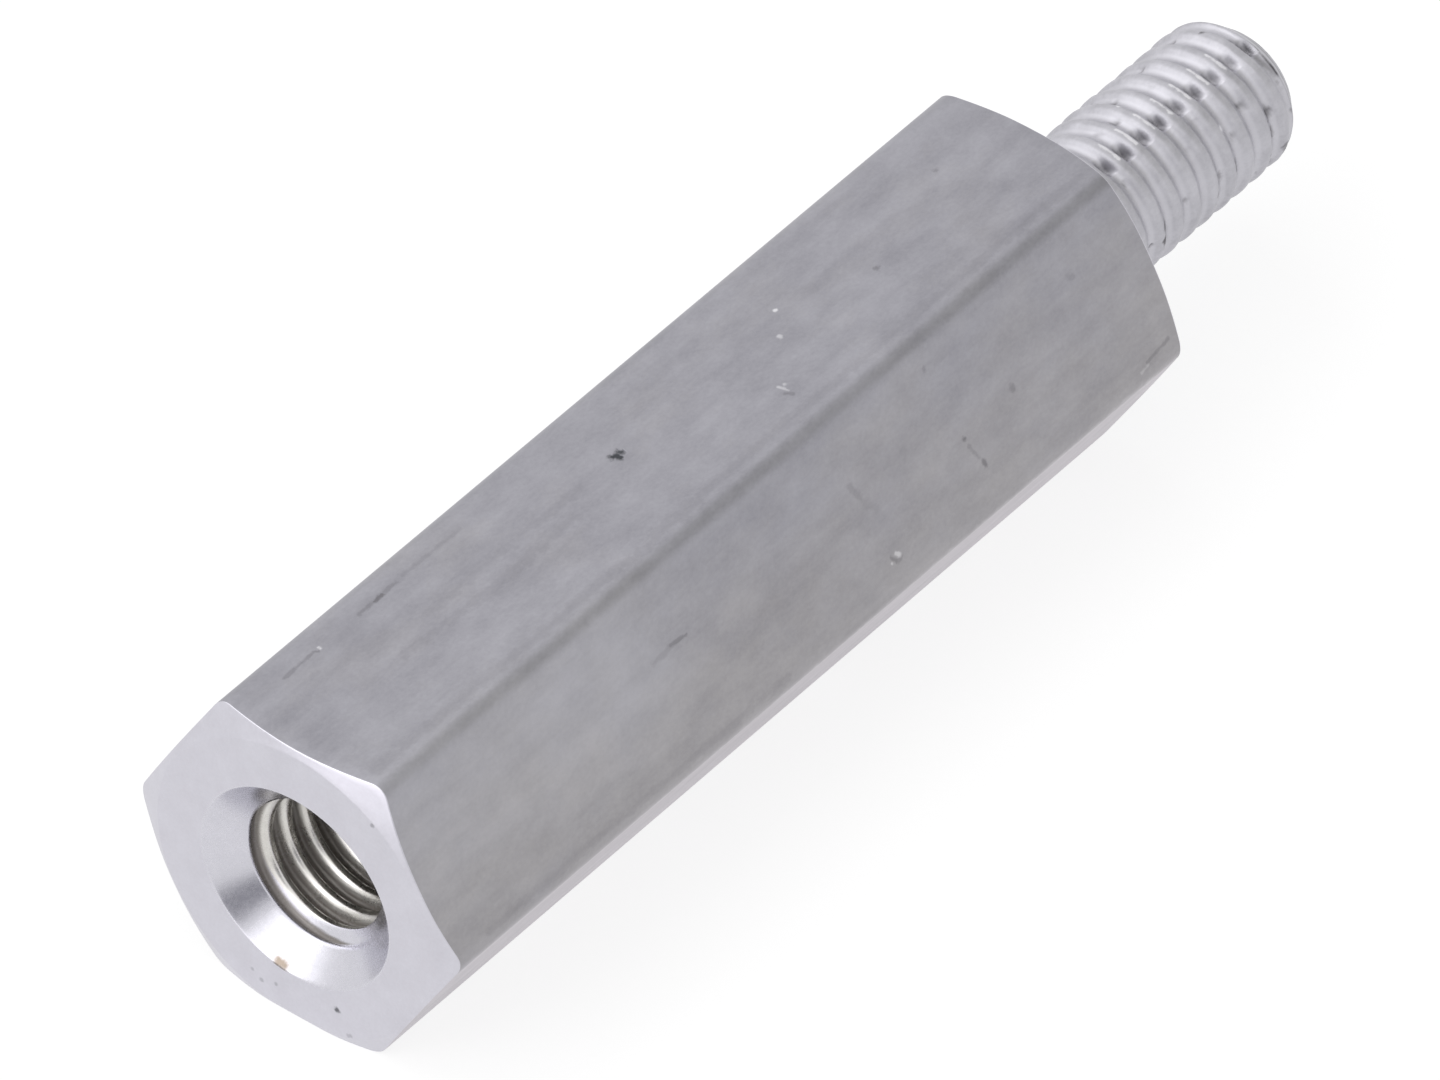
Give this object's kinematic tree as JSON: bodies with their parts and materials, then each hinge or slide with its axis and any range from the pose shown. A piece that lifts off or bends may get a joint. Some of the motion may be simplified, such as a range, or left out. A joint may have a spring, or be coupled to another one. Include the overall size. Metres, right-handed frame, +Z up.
{
  "type": "hex standoff",
  "caption": "Hexagonal metal standoff, with a countersunk tapped hole in one end and a threaded stud on the other.",
  "frame": {"origin": "on the surface that the part lies on, under the middle of its whole length and width", "axes": "+X along the axis from the tapped end to the tip of the stud, +Z up, with one flat of the hexagon down"},
  "size_m": [0.026, 0.0068, 0.006],
  "materials": {
    "aluminium": "plain mill finish on the drawn flats, satin on the turned ends and threads"
  },
  "bodies": {
    "root": {"standoff": "aluminium"}
  },
  "joints": []
}
